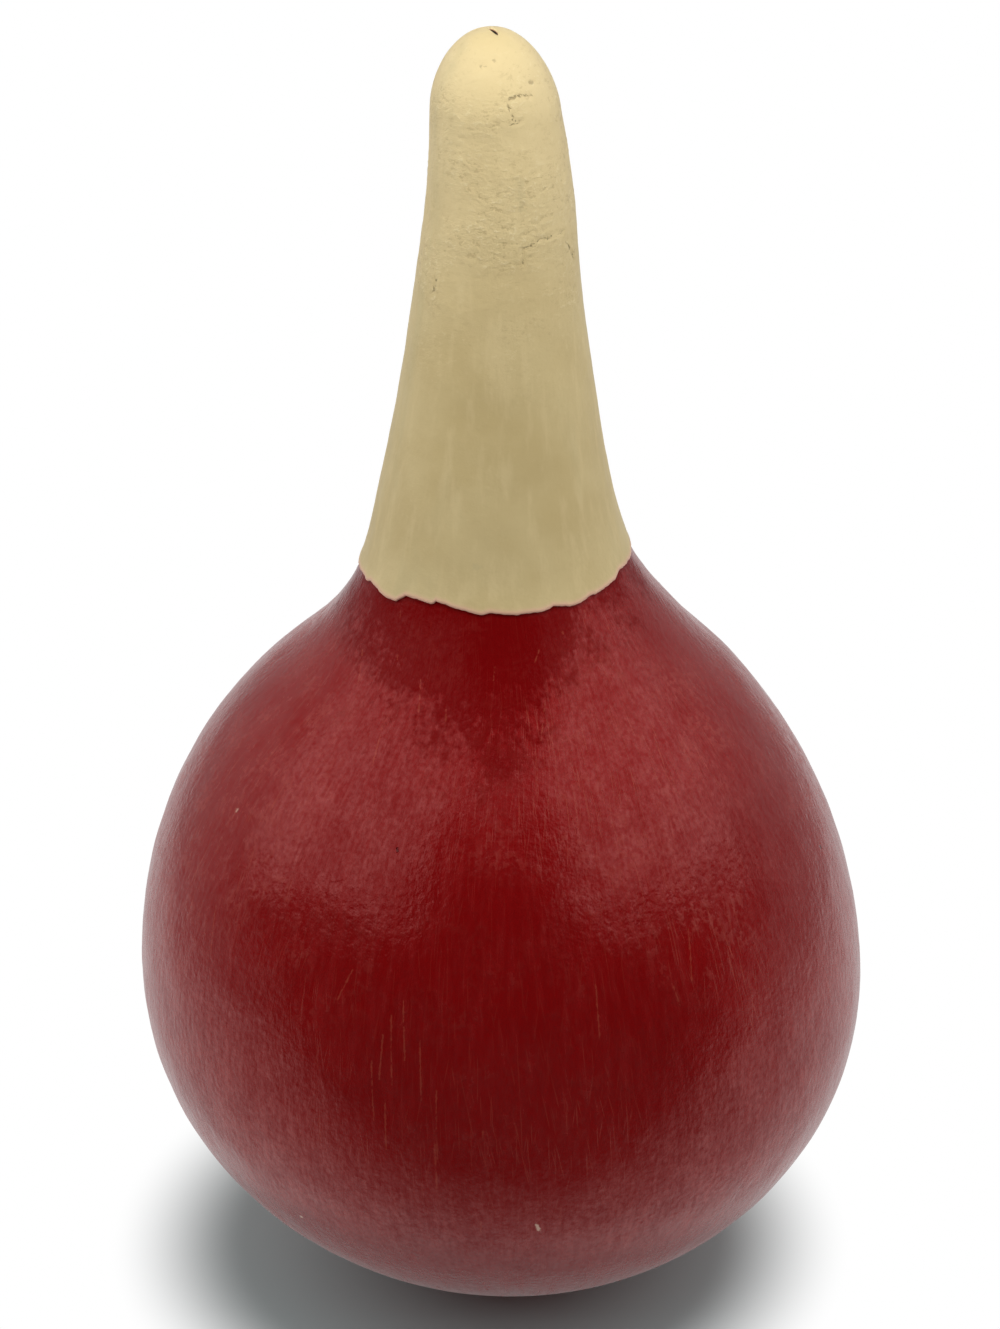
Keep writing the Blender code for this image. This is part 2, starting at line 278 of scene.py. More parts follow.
def centreline(height):
    """Sideways drift of the grown fruit's axis at a height, from the middle of the foot."""
    above = np.maximum(height - BOWL_LEAN_TURN, 0.0)
    lean = BOWL_LEAN * ((1.0 - height / BOWL_LEAN_TURN) * swell(above, 0.0, BOWL_LEAN_SPREAD) - 1.0)
    shoulder = SHOULDER_SWELL * swell(height, SHOULDER_SWELL_HEIGHT, SHOULDER_SWELL_SPREAD)
    bow = NECK_BOW * swell(height, NECK_BOW_HEIGHT, NECK_BOW_SPREAD)
    grip = GRIP_SWELL * swell(height, GRIP_SWELL_HEIGHT, GRIP_SWELL_SPREAD)
    top = np.clip((height - RIND_HEIGHT + TIP_LEAN_LENGTH) / TIP_LEAN_LENGTH, 0.0, 1.0)
    return lean + shoulder + bow + grip + TIP_LEAN * top**2


class Meridian:
    """The rind's outer curve from tip to foot, measured along its length."""

    def __init__(self, samples=3000):
        share = np.linspace(0.0, 1.0, samples)
        self.height = RIND_HEIGHT * (1.0 - share**2)
        self.radius = rind_radius(self.height)
        self.radius[0] = 0.0
        steps = np.hypot(np.diff(self.radius), np.diff(self.height))
        self.arc = np.concatenate([[0.0], np.cumsum(steps)])
        run = np.gradient(self.radius, self.arc)
        fall = np.gradient(self.height, self.arc)
        size = np.hypot(run, fall)
        self.out = -fall / size
        self.up = run / size

    def at(self, arc, offset=0.0):
        radius = np.interp(arc, self.arc, self.radius) + offset * np.interp(arc, self.arc, self.out)
        height = np.interp(arc, self.arc, self.height) + offset * np.interp(arc, self.arc, self.up)
        return radius, height

    def arc_at_height(self, height):
        return np.interp(-np.asarray(height), -self.height, self.arc)

    def rings(self, first, last, length, turn):
        """Lengths that lie closer where the curve bends."""
        inside = (self.arc > first) & (self.arc < last)
        arc = np.concatenate([[first], self.arc[inside], [last]])
        slope = np.unwrap(np.arctan2(self.out, self.up))
        bend = np.abs(np.diff(np.interp(arc, self.arc, slope)))
        weight = np.concatenate([[0.0], np.cumsum(np.diff(arc) / length + bend / turn)])
        count = int(math.ceil(weight[-1]))
        return np.interp(np.linspace(0.0, weight[-1], count + 1), weight, arc)


MERIDIAN = Meridian()


def surface_point(bearing, height, offset=0.0):
    """Point on the fruit at a bearing from the front, in degrees, and a height."""
    arc = float(MERIDIAN.arc_at_height(height))
    radius, level = MERIDIAN.at(arc, offset)
    angle = math.radians(bearing - 90)
    return Vector((radius * math.cos(angle) + float(centreline(level)), radius * math.sin(angle), level))


# Node helpers

def add_node(tree, kind, **settings):
    made = tree.nodes.new(kind)
    for name, value in settings.items():
        setattr(made, name, value)
    return made


def feed(tree, socket, value):
    """Links a socket to an input, or writes a constant into it."""
    if isinstance(value, bpy.types.NodeSocket):
        tree.links.new(value, socket)
    elif isinstance(value, tuple) and socket.type == "RGBA":
        socket.default_value = (*value, 1.0)
    else:
        socket.default_value = value


def feed_named(tree, made, values):
    """Feeds sockets of a node by name or number."""
    for name, value in values.items():
        feed(tree, made.inputs[name], value)
    return made


def feed_in_order(tree, made, values):
    """Feeds the first sockets of a node."""
    for socket, value in zip(made.inputs, values):
        feed(tree, socket, value)
    return made


def maths(tree, operation, *values, clamp=False):
    made = add_node(tree, "ShaderNodeMath", operation=operation, use_clamp=clamp)
    return feed_in_order(tree, made, values).outputs[0]


def product(tree, first, *others):
    """Values multiplied in their order."""
    for other in others:
        first = maths(tree, "MULTIPLY", first, other)
    return first


def weighted_sum(tree, first, *others):
    """Sum of values that each come with a weight."""
    total = maths(tree, "MULTIPLY", *first)
    for value, weight in others:
        total = maths(tree, "MULTIPLY_ADD", value, weight, total)
    return total


def vectors(tree, operation, *values, result="Vector"):
    made = add_node(tree, "ShaderNodeVectorMath", operation=operation)
    return feed_in_order(tree, made, values).outputs[result]


def scaled(tree, vector, size):
    made = add_node(tree, "ShaderNodeVectorMath", operation="SCALE")
    return feed_named(tree, made, {0: vector, "Scale": size}).outputs["Vector"]


def parts_of(tree, vector):
    made = add_node(tree, "ShaderNodeSeparateXYZ")
    return feed_in_order(tree, made, (vector,)).outputs


def vector_of(tree, *values):
    made = add_node(tree, "ShaderNodeCombineXYZ")
    return feed_in_order(tree, made, values).outputs[0]


def step_between(tree, value, limits, results=(0.0, 1.0)):
    """Smooth step of a value between two limits, from one result to another."""
    made = add_node(tree, "ShaderNodeMapRange", interpolation_type="SMOOTHSTEP")
    feed_named(tree, made, {"Value": value, "From Min": limits[0], "From Max": limits[1]})
    feed_named(tree, made, {"To Min": results[0], "To Max": results[1]})
    return made.outputs["Result"]


def blend(tree, share, first, second):
    """Mix of two colours."""
    made = add_node(tree, "ShaderNodeMix", data_type="RGBA")
    feed_named(tree, made, {MIX_SHARE: share, MIX_FIRST: first, MIX_SECOND: second})
    return made.outputs[MIX_RESULT]


def layered(tree, colour, *layers):
    """A colour under layers of (share, strength, tone)."""
    for share, strength, tone in layers:
        colour = blend(tree, maths(tree, "MULTIPLY", share, strength), colour, tone)
    return colour


def grain(tree, vector, scale, detail=3.0, roughness=0.5, output="Fac"):
    made = add_node(tree, "ShaderNodeTexNoise", noise_dimensions="3D")
    values = {"Vector": vector, "Scale": scale, "Detail": detail, "Roughness": roughness}
    return feed_named(tree, made, values).outputs[output]


def new_finish(name):
    material = bpy.data.materials.new(name)
    material.use_nodes = True
    tree = material.node_tree
    return material, tree, tree.nodes["Principled BSDF"]


def add_relief(tree, shader, height, distance):
    bump = add_node(tree, "ShaderNodeBump")
    feed_named(tree, bump, {"Strength": 1.0, "Distance": distance, "Height": height})
    feed(tree, shader.inputs["Normal"], bump.outputs["Normal"])


def mark_group():
    """Node group: how near the surface is to a wandering mark between two points."""
    group = bpy.data.node_groups.new("mark_between_points", "ShaderNodeTree")
    for name, kind in (("From", "Vector"), ("To", "Vector"), ("Width", "Float"), ("Wander", "Float")):
        group.interface.new_socket(name, in_out="INPUT", socket_type="NodeSocket" + kind)
    group.interface.new_socket("Mark", in_out="OUTPUT", socket_type="NodeSocketFloat")
    given = group.nodes.new("NodeGroupInput").outputs
    result = group.nodes.new("NodeGroupOutput")
    place = group.nodes.new("ShaderNodeTexCoord").outputs["Object"]
    drift = grain(group, place, scale=1300.0, detail=2.0, roughness=0.6, output="Color")
    thick = grain(group, place, scale=900.0, detail=1.0)
    drift = scaled(group, vectors(group, "SUBTRACT", drift, (0.5, 0.5, 0.5)), given["Wander"])
    away = vectors(group, "SUBTRACT", vectors(group, "ADD", place, drift), given["From"])
    run = vectors(group, "SUBTRACT", given["To"], given["From"])
    along = vectors(group, "DOT_PRODUCT", away, run, result="Value")
    whole = vectors(group, "DOT_PRODUCT", run, run, result="Value")
    foot = scaled(group, run, maths(group, "DIVIDE", along, whole, clamp=True))
    gap = vectors(group, "DISTANCE", away, foot, result="Value")
    uneven = maths(group, "MULTIPLY_ADD", thick, 2.4, -0.2)
    near = maths(group, "DIVIDE", gap, maths(group, "MULTIPLY", given["Width"], uneven))
    feed(group, result.inputs["Mark"], step_between(group, near, (0.35, 1.0), (1.0, 0.0)))
    return group


MARK = mark_group()


def draw_marks(tree, paths, width, wander, offset=0.0):
    """Strongest of a set of marks, each a path of (bearing, height in mm) points on the surface."""
    strongest = 0.0
    for path in paths:
        points = [surface_point(bearing, height / MM_PER_METRE, offset) for bearing, height in path]
        if len(points) == 1:
            points.append(points[0] + Vector((0.0, 0.0, width / 4)))
        for first, second in zip(points, points[1:]):
            made = add_node(tree, "ShaderNodeGroup", node_tree=MARK)
            feed_named(tree, made, {"From": first, "To": second, "Width": width, "Wander": wander})
            strongest = maths(tree, "MAXIMUM", strongest, made.outputs["Mark"])
    return strongest


# Marks on the photographed side: bearing from the front in degrees, height in millimetres
PAINT_CRACKS = (
    ((13.0, 257.0), (17.0, 257.8), (25.0, 257.9), (33.8, 257.9), (37.7, 257.4)),
    ((11.2, 257.0), (14.5, 255.9)),
    ((15.8, 254.8), (16.2, 254.0)),
    ((12.6, 253.2), (18.0, 253.3), (25.1, 253.7)),
    ((54.5, 230.7), (47.0, 231.0), (41.1, 230.6), (29.2, 230.6), (22.0, 229.6), (16.2, 229.3)),
    ((16.4, 229.2), (18.0, 226.3)),
    ((58.6, 228.6), (68.5, 224.3)),
    ((-50.3, 221.7), (-50.4, 219.3)),
)
PAINT_SPECKS = (((-12.5, 262.9), (-9.5, 263.0)), ((2.5, 263.9),), ((42.2, 259.7), (46.0, 259.6)))
PAINT_STAINS = (((-9.0, 167.9),), ((17.0, 242.0), (17.2, 237.0)))
PALE_FLECKS = (((-59.6, 118.0),), ((4.7, 48.3), (4.9, 46.9)), ((-37.3, 38.3),))
DARK_PITS = (((74.9, 101.9),), ((-19.8, 122.1),))
LONG_SCRATCHES = (
    ((-2.8, 72.3), (-4.0, 48.0), (-5.1, 25.7)),
    ((-16.8, 93.9), (-16.4, 80.2)),
    ((-15.0, 97.0), (-14.4, 85.6)),
    ((-17.5, 76.8), (-17.6, 65.8)),
    ((-12.1, 89.9), (-11.9, 77.9)),
    ((-19.7, 84.5), (-19.3, 72.1)),
    ((-9.6, 80.3), (-9.8, 65.0)),
    ((-54.7, 101.8), (-52.9, 92.5)),
    ((15.9, 99.6), (15.6, 89.3)),
    ((33.9, 105.3), (32.4, 95.4)),
    ((-18.0, 90.0), (-18.4, 81.0)),
    ((-24.0, 101.0), (-26.0, 95.0)),
    ((-2.5, 150.3), (-3.3, 148.2)),
    ((-44.0, 157.0), (-39.0, 148.9)),
    ((37.2, 157.6), (33.2, 149.8), (33.6, 146.7)),
    ((44.8, 153.8), (45.4, 148.3)),
    ((14.0, 152.7), (11.7, 150.8)),
    ((-36.8, 141.0), (-34.3, 138.3), (-32.1, 133.3)),
    ((-17.4, 143.1), (-16.0, 139.4)),
    ((24.5, 155.0), (24.7, 154.7)),
    ((-28.0, 146.9), (-25.6, 142.1)),
    ((-55.6, 147.9), (-49.6, 142.9)),
    ((45.4, 142.3), (42.4, 135.7)),
    ((12.9, 144.7), (10.2, 138.9)),
    ((29.0, 96.0), (29.6, 92.0)),
    ((-58.0, 136.0), (-55.0, 118.0)),
    ((-10.0, 70.0), (-10.2, 58.0)),
)


# Finishes

def red_lacquer():
    """Old satin lacquer, rubbed and finely scratched along the length of the fruit, with painted shade
    below the neck.
    """
    material, tree, shader = new_finish("red_lacquer")
    place = add_node(tree, "ShaderNodeTexCoord").outputs["Object"]
    side, _, level = parts_of(tree, place)
    turn, length, _ = parts_of(tree, add_node(tree, "ShaderNodeUVMap", uv_map="UVMap").outputs["UV"])

    def lengthwise(around, along, slant=0.0):
        """Coordinates round the fruit and down it, without a seam."""
        angle = maths(tree, "MULTIPLY_ADD", turn, 2 * math.pi, maths(tree, "MULTIPLY", length, slant))
        x = maths(tree, "MULTIPLY", maths(tree, "COSINE", angle), around)
        y = maths(tree, "MULTIPLY", maths(tree, "SINE", angle), around)
        return vector_of(tree, x, y, maths(tree, "MULTIPLY", length, along))

    upright = vectors(tree, "MULTIPLY", place, (1.0, 1.0, 0.75))
    clouds = grain(tree, place, scale=24.0, detail=4.0, roughness=0.55)
    blotches = grain(tree, place, scale=130.0, detail=4.0, roughness=0.6)
    grit = grain(tree, upright, scale=820.0, detail=2.0, roughness=0.55)
    speckle = grain(tree, upright, scale=1050.0, detail=3.0, roughness=0.65)
    rubbing = grain(tree, lengthwise(38.0, 95.0), scale=1.0, detail=4.0, roughness=0.62)
    brush = grain(tree, lengthwise(75.0, 150.0), scale=1.0, detail=3.0, roughness=0.6)

    # Patch below the neck, 0 inside it: there the red is darkened as painted shade and the sheen is lower,
    # and fewer hairlines and scuffs fall
    left = maths(tree, "MULTIPLY_ADD", side, *SHADE_PATCH_LEFT_RISE)
    right = maths(tree, "MULTIPLY_ADD", side, *SHADE_PATCH_RIGHT_RISE)
    rise = maths(tree, "MAXIMUM", maths(tree, "MAXIMUM", left, right), 0.0)
    rise = maths(tree, "MINIMUM", rise, SHADE_PATCH_MOST_RISE)
    ragged = maths(tree, "MULTIPLY_ADD", grit, SHADE_PATCH_GRIT, level)
    ragged = maths(tree, "MULTIPLY_ADD", blotches, SHADE_PATCH_BLOTCHES, ragged)
    handled_and_unshaded = step_between(tree, maths(tree, "SUBTRACT", ragged, rise), SHADE_PATCH_END, (1.0, 0.0))

    hairlines = 0.0
    for around, along, slant, start in HAIRLINES:
        hairs = grain(tree, lengthwise(around, along, slant), scale=1.0, detail=1.0)
        hairs = step_between(tree, hairs, (start, start + HAIRLINE_SOFTNESS))
        hairlines = maths(tree, "MAXIMUM", hairlines, hairs)
    hairlines = product(
        tree,
        hairlines,
        step_between(tree, clouds, (0.42, 0.66), (0.15, 1.0)),
        maths(tree, "MULTIPLY_ADD", handled_and_unshaded, 0.70, 0.30),
        step_between(tree, level, (0.055, 0.100), (0.45, 1.0)),
    )
    scuffs = product(
        tree,
        step_between(tree, blotches, (0.42, 0.62)),
        step_between(tree, clouds, (0.42, 0.58), (0.15, 1.0)),
        maths(tree, "MULTIPLY_ADD", handled_and_unshaded, 0.75, 0.25),
        step_between(tree, grit, (0.47, 0.60)),
        step_between(tree, level, (0.075, 0.105), (0.25, 1.0)),
    )
    scratches = draw_marks(tree, LONG_SCRATCHES, width=0.00024, wander=0.0004)
    flecks = draw_marks(tree, PALE_FLECKS, width=0.00052, wander=0.0006)
    pits = draw_marks(tree, DARK_PITS, width=0.00060, wander=0.0008)

    colour = blend(tree, step_between(tree, clouds, (0.30, 0.70)), DARK_RED, CLEAR_RED)
    colour = blend(tree, step_between(tree, rubbing, (0.44, 0.72), (0.0, 0.35)), colour, RUBBED_RED)
    # Painted shade: the patch below the neck takes the darker red
    colour = blend(tree, handled_and_unshaded, NECK_SHADE_RED, colour)
    colour = layered(
        tree,
        colour,
        (hairlines, 0.58, HAIRLINE_RED),
        (scuffs, 0.38, SCUFF_RED),
        (scratches, 0.30, SCRATCH_RED),
        (flecks, 1.0, FLECK_TONE),
        (pits, 0.8, PIT_TONE),
    )
    feed(tree, shader.inputs["Base Color"], colour)

    rough = step_between(tree, rubbing, (0.35, 0.70), (0.21, 0.28))
    feed(tree, shader.inputs["Roughness"], maths(tree, "MULTIPLY_ADD", scuffs, 0.12, rough))
    mottle = product(
        tree,
        step_between(tree, speckle, (0.36, 0.64), (0.66, 1.34)),
        step_between(tree, blotches, (0.34, 0.66), (0.80, 1.20)),
        step_between(tree, brush, (0.36, 0.64), (0.78, 1.22)),
    )
    # Less sheen in the patch of painted shade below the neck
    sheen = maths(tree, "MULTIPLY_ADD", handled_and_unshaded, 0.73, 0.14)
    feed(tree, shader.inputs["Specular IOR Level"], maths(tree, "MULTIPLY", sheen, mottle))
    feed(tree, shader.inputs["Specular Tint"], LACQUER_GLOSS)

    relief = weighted_sum(
        tree, (grit, 1.1), (brush, 0.10), (blotches, 1.10), (pits, -2.0), (hairlines, -0.25)
    )
    add_relief(tree, shader, relief, distance=0.00011)
    return material


def cream_paint():
    """Thick cream paint, dulled and faintly stained, cracked and wrinkled near the tip, with painted light:
    paler toward the tip, and highlights and shade painted on its shrunk bumps.
    """
    material, tree, shader = new_finish("cream_paint")
    place = add_node(tree, "ShaderNodeTexCoord").outputs["Object"]
    _, _, level = parts_of(tree, place)
    rim = add_node(tree, "ShaderNodeAttribute", attribute_name="torn_rim").outputs["Fac"]

    upright = vectors(tree, "MULTIPLY", place, (1.0, 1.0, 0.14))
    flattened = vectors(tree, "MULTIPLY", place, (1.0, 1.0, 1.5))
    clouds = grain(tree, place, scale=60.0, detail=4.0, roughness=0.55)
    streaks = grain(tree, upright, scale=330.0, detail=3.0, roughness=0.6)
    staining = grain(tree, upright, scale=85.0, detail=3.0, roughness=0.55)
    dimples = grain(tree, place, scale=480.0, detail=4.0, roughness=0.62)
    pebbles = grain(tree, flattened, scale=620.0, detail=4.0, roughness=0.72)
    patches = step_between(tree, grain(tree, place, scale=95.0), (0.36, 0.64), (0.25, 1.0))

    shrunk_above = step_between(tree, level, (0.195, 0.232), (0.12, 1.0))
    shrunk_below = step_between(tree, level, (0.252, 0.266), (1.0, 0.4))
    shrunk = product(tree, shrunk_above, shrunk_below)
    # Painted light on the shrunk paint: raised bumps are paler as highlight, hollows darker as shade
    bump_highlights = product(tree, step_between(tree, pebbles, (0.57, 0.64)), patches, shrunk)
    hollow_shade = product(tree, step_between(tree, pebbles, (0.36, 0.44), (1.0, 0.0)), patches, shrunk)
    cracks = draw_marks(tree, PAINT_CRACKS, width=0.00026, wander=0.0018, offset=COAT_THICKNESS)
    cracks = product(tree, cracks, step_between(tree, dimples, (0.40, 0.54)))
    specks = draw_marks(tree, PAINT_SPECKS, width=0.00050, wander=0.0008, offset=COAT_THICKNESS)
    stains = draw_marks(tree, PAINT_STAINS, width=0.0012, wander=0.0016, offset=COAT_THICKNESS)

    colour = blend(tree, step_between(tree, clouds, (0.32, 0.68)), DULL_CREAM, CLEAR_CREAM)
    # Painted light: the cream grows paler toward the tip
    colour = blend(tree, step_between(tree, level, (0.195, 0.245), (0.0, 0.62)), colour, TOP_LIGHT_CREAM)
    colour = blend(tree, step_between(tree, streaks, (0.46, 0.74), (0.0, 0.40)), colour, STREAK_CREAM)
    colour = blend(tree, step_between(tree, staining, (0.54, 0.74), (0.0, 0.34)), colour, STAINED_CREAM)
    colour = layered(
        tree,
        colour,
        (bump_highlights, 0.55, BUMP_HIGHLIGHT_TONE),
        (hollow_shade, 0.50, HOLLOW_SHADE_TONE),
        (cracks, 0.55, CRACK_TONE),
        (specks, 0.55, SPECK_TONE),
        (stains, 0.09, STAIN_TONE),
        (rim, 1.0, TORN_RIM_TINT_AND_HIGHLIGHT),
    )
    feed(tree, shader.inputs["Base Color"], colour)
    feed(tree, shader.inputs["Roughness"], step_between(tree, streaks, (0.30, 0.75), (0.44, 0.58)))
    feed(tree, shader.inputs["Specular IOR Level"], 0.40)

    shrivelled = product(tree, shrunk, patches, pebbles)
    relief = weighted_sum(tree, (dimples, 0.60), (streaks, 0.45), (shrivelled, 2.2), (cracks, -1.4))
    add_relief(tree, shader, relief, distance=0.00016)
    return material


def dry_fibre(name, dark, pale, scale, rough):
    """Dry plant fibre, streaked along its length."""
    material, tree, shader = new_finish(name)
    place = add_node(tree, "ShaderNodeTexCoord").outputs["Object"]
    upright = vectors(tree, "MULTIPLY", place, (1.0, 1.0, 0.25))
    fibres = grain(tree, upright, scale, detail=4.0, roughness=0.6)
    mottle = grain(tree, place, scale * 0.3)
    colour = blend(tree, step_between(tree, fibres, (0.35, 0.68)), dark, pale)
    colour = blend(tree, step_between(tree, mottle, (0.55, 0.75), (0.0, 0.4)), colour, dark)
    feed(tree, shader.inputs["Base Color"], colour)
    feed(tree, shader.inputs["Roughness"], step_between(tree, fibres, (0.3, 0.7), (rough, rough + 0.15)))
    add_relief(tree, shader, fibres, distance=0.00012)
    return material


# Geometry node helpers

def shape_tree(name, *inputs):
    """A geometry node tree that takes a shape and named values, and gives a shape."""
    tree = bpy.data.node_groups.new(name, "GeometryNodeTree")
    tree.interface.new_socket("Shape", in_out="INPUT", socket_type="NodeSocketGeometry")
    for label, kind in inputs:
        tree.interface.new_socket(label, in_out="INPUT", socket_type="NodeSocket" + kind)
    tree.interface.new_socket("Finish", in_out="INPUT", socket_type="NodeSocketMaterial")
    tree.interface.new_socket("Result", in_out="OUTPUT", socket_type="NodeSocketGeometry")
    return tree, tree.nodes.new("NodeGroupInput").outputs


def named(tree, name):
    made = add_node(tree, "GeometryNodeInputNamedAttribute", data_type="FLOAT")
    made.inputs["Name"].default_value = name
    return made.outputs["Attribute"]


def stored(tree, shape, name, value, kind="FLOAT", domain="POINT"):
    made = add_node(tree, "GeometryNodeStoreNamedAttribute", data_type=kind, domain=domain)
    return feed_named(tree, made, {"Geometry": shape, "Name": name, "Value": value}).outputs[0]


def pushed_out(tree, shape, amount):
    """The shape moved along its normals by a field."""
    made = tree.nodes.new("GeometryNodeSetPosition")
    normal = tree.nodes.new("GeometryNodeInputNormal").outputs[0]
    return feed_named(tree, made, {"Geometry": shape, "Offset": scaled(tree, normal, amount)}).outputs[0]


def seeded_noise(tree, seed, scale, detail, vector=None):
    made = add_node(tree, "ShaderNodeTexNoise", noise_dimensions="4D")
    feed_named(tree, made, {"W": seed, "Scale": scale, "Detail": detail})
    if vector is not None:
        feed(tree, made.inputs["Vector"], vector)
    return made.outputs[0]


def end_tree(tree, shape, finish):
    """Smooth shading, real geometry and the material, in that order."""
    smooth = tree.nodes.new("GeometryNodeSetShadeSmooth")
    feed(tree, smooth.inputs["Geometry"], shape)
    real = tree.nodes.new("GeometryNodeRealizeInstances")
    feed(tree, real.inputs["Geometry"], smooth.outputs[0])
    painted = tree.nodes.new("GeometryNodeSetMaterial")
    feed_named(tree, painted, {"Geometry": real.outputs[0], "Material": finish})
    result = tree.nodes.new("NodeGroupOutput")
    feed(tree, result.inputs[0], painted.outputs[0])
    return tree


def grow(name, mesh, tree, **values):
    """A finished object: the mesh run through a tree whose inputs are set by their identifiers."""
    grower = bpy.data.objects.new(name + "_grower", mesh)
    bpy.context.scene.collection.objects.link(grower)
    modifier = grower.modifiers.new("grow", "NODES")
    modifier.node_group = tree
    for item in tree.interface.items_tree:
        key = item.name.replace(" ", "_").lower()
        if item.in_out == "INPUT" and key in values:
            modifier[item.identifier] = values[key]
    graph = bpy.context.evaluated_depsgraph_get()
    grown = bpy.data.meshes.new_from_object(grower.evaluated_get(graph))
    bpy.data.objects.remove(grower, do_unlink=True)
    piece = bpy.data.objects.new(name, grown)
    bpy.context.scene.collection.objects.link(piece)
    return piece


# Rind, turned by a node tree from a profile of outer wall, stem hole and inner wall

def rind_profile():
    """Edge mesh of (radius, drift, height) points, each with its length along the edge and its ripple."""
    dome = MERIDIAN.height > RIND_HEIGHT - TIP_DOME_HEIGHT
    rim = float(np.interp(STEM_HOLE_RADIUS, MERIDIAN.radius[dome], MERIDIAN.arc[dome]))
    outer = MERIDIAN.rings(rim, MERIDIAN.arc[-1], OUTER_RING_LENGTH, OUTER_RING_TURN)[::-1]
    inner = MERIDIAN.rings(rim, MERIDIAN.arc[-1], INNER_RING_LENGTH, INNER_RING_TURN)
    rows = [(0.0, 0.0, 0.0), (FOOT_RADIUS / 2, 0.0, 0.0)]
    for radius, height in zip(*MERIDIAN.at(outer)):
        rows.append((radius, height, float(np.clip(height / RIPPLE_START, 0.0, 1.0))))
    rim_height = rows[-1][1]
    rows[-1] = (STEM_HOLE_RADIUS, rim_height, 0.0)
    rows.append((STEM_HOLE_RADIUS, rim_height - WALL, 0.0))
    for radius, height in zip(*MERIDIAN.at(inner, -WALL)):
        if radius > STEM_HOLE_RADIUS and height < rim_height - WALL:
            rows.append((radius, height, 0.0))
    rows.append((0.0, WALL, 0.0))
    radius, height, skin = np.array(rows).T
    length = np.concatenate([[0.0], np.cumsum(np.hypot(np.diff(radius), np.diff(height)))])
    points = np.stack([radius, centreline(height), height], axis=1)
    mesh = bpy.data.meshes.new("rind_profile")
    mesh.from_pydata(points.tolist(), [(i, i + 1) for i in range(len(points) - 1)], [])
    mesh.attributes.new("skin", "FLOAT", "POINT").data.foreach_set("value", skin)
    mesh.attributes.new("along", "FLOAT", "POINT").data.foreach_set("value", length)
    return mesh


def turned_rind_tree():
    """Turns each profile point into a ring, then ripples the outer skin."""
    values = (("Steps", "Int"), ("Ripple", "Float"), ("Fineness", "Float"), ("Seed", "Float"))
    tree, given = shape_tree("turned_rind", *values)
    size = add_node(tree, "GeometryNodeAttributeDomainSize", component="MESH")
    feed(tree, size.inputs["Geometry"], given["Shape"])
    rows = size.outputs["Point Count"]
    sheet = tree.nodes.new("GeometryNodeMeshGrid")
    columns = maths(tree, "ADD", given["Steps"], 1.0)
    feed_named(tree, sheet, {"Vertices X": columns, "Vertices Y": rows})
    turn, down, _ = parts_of(tree, sheet.outputs["UV Map"])
    row = maths(tree, "ROUND", maths(tree, "MULTIPLY", down, maths(tree, "SUBTRACT", rows, 1.0)))

    def of_row(value, kind="FLOAT"):
        made = add_node(tree, "GeometryNodeSampleIndex", data_type=kind, domain="POINT")
        sources = {"Geometry": given["Shape"], "Value": value, "Index": row}
        return feed_named(tree, made, sources).outputs["Value"]

    place = tree.nodes.new("GeometryNodeInputPosition").outputs[0]
    radius, drift, height = parts_of(tree, of_row(place, "FLOAT_VECTOR"))
    angle = maths(tree, "MULTIPLY_ADD", turn, 2 * math.pi, math.pi / 2)
    x = maths(tree, "MULTIPLY_ADD", radius, maths(tree, "COSINE", angle), drift)
    y = maths(tree, "MULTIPLY", radius, maths(tree, "SINE", angle))
    flat = vector_of(tree, turn, of_row(named(tree, "along")), 0.0)
    shape = stored(tree, sheet.outputs["Mesh"], "UVMap", flat, "FLOAT2", "CORNER")
    shape = stored(tree, shape, "skin", of_row(named(tree, "skin")))
    turned = tree.nodes.new("GeometryNodeSetPosition")
    feed_named(tree, turned, {"Geometry": shape, "Position": vector_of(tree, x, y, height)})
    closed = tree.nodes.new("GeometryNodeMergeByDistance")
    feed_named(tree, closed, {"Geometry": turned.outputs[0], "Distance": SEAM_DISTANCE})
    noise = seeded_noise(tree, given["Seed"], given["Fineness"], 3.0)
    below = maths(tree, "SUBTRACT", noise, RIPPLE_CEILING)
    depth = product(tree, below, given["Ripple"], named(tree, "skin"))
    return end_tree(tree, pushed_out(tree, closed.outputs[0], depth), given["Finish"])


# Coat of paint, a film drawn down to its torn edge

def edge_height(bearing):
    """Height of the torn edge at bearings from the front, in degrees."""
    bearings, heights = np.array(TORN_EDGE).T
    angle = np.radians(bearing)
    waves = np.sin(29 * angle + 1.0)
    bitten = 0.9 * np.sin(67 * angle + 2.3) * np.sin(11 * angle)
    fine = 0.5 * np.sin(127 * angle + 0.7)
    crumble = EDGE_CRUMBLE * (waves + bitten + fine) / 2
    return np.interp(bearing, bearings, heights, period=360) / MM_PER_METRE + crumble


def path_gap(points, path):
    """Distance from each point to a path of marks on the paint."""
    places = []
    for bearing, height in path:
        places.append(np.array(surface_point(bearing, height / MM_PER_METRE, COAT_THICKNESS)))
    places.append(places[-1] + (0.0, 0.0, DOT_LENGTH))
    least = np.full(points.shape[:-1], 1.0)
    for first, second in zip(places, places[1:]):
        run = second - first
        share = np.clip((points - first) @ run / (run @ run), 0.0, 1.0)
        least = np.minimum(least, np.linalg.norm(points - first - share[..., None] * run, axis=-1))
    return least


def film_points(angle, arc, offset):
    radius, height = MERIDIAN.at(arc, offset)
    x = radius * np.cos(angle) + centreline(height)
    return np.stack([x, radius * np.sin(angle), height], axis=-1)


def scar_reach(angle):
    """Distance from the tip's middle to the rim of the oval opening over the stem."""
    slant = angle - SCAR_BEARING
    narrow = (np.cos(slant) / SCAR_HALF_LENGTH) ** 2 + (np.sin(slant) / SCAR_HALF_WIDTH) ** 2
    ahead = SCAR_SHIFT * np.cos(slant) / SCAR_HALF_LENGTH**2
    beyond = 1.0 - (SCAR_SHIFT / SCAR_HALF_LENGTH) ** 2
    return (ahead + np.sqrt(ahead**2 + narrow * beyond)) / narrow


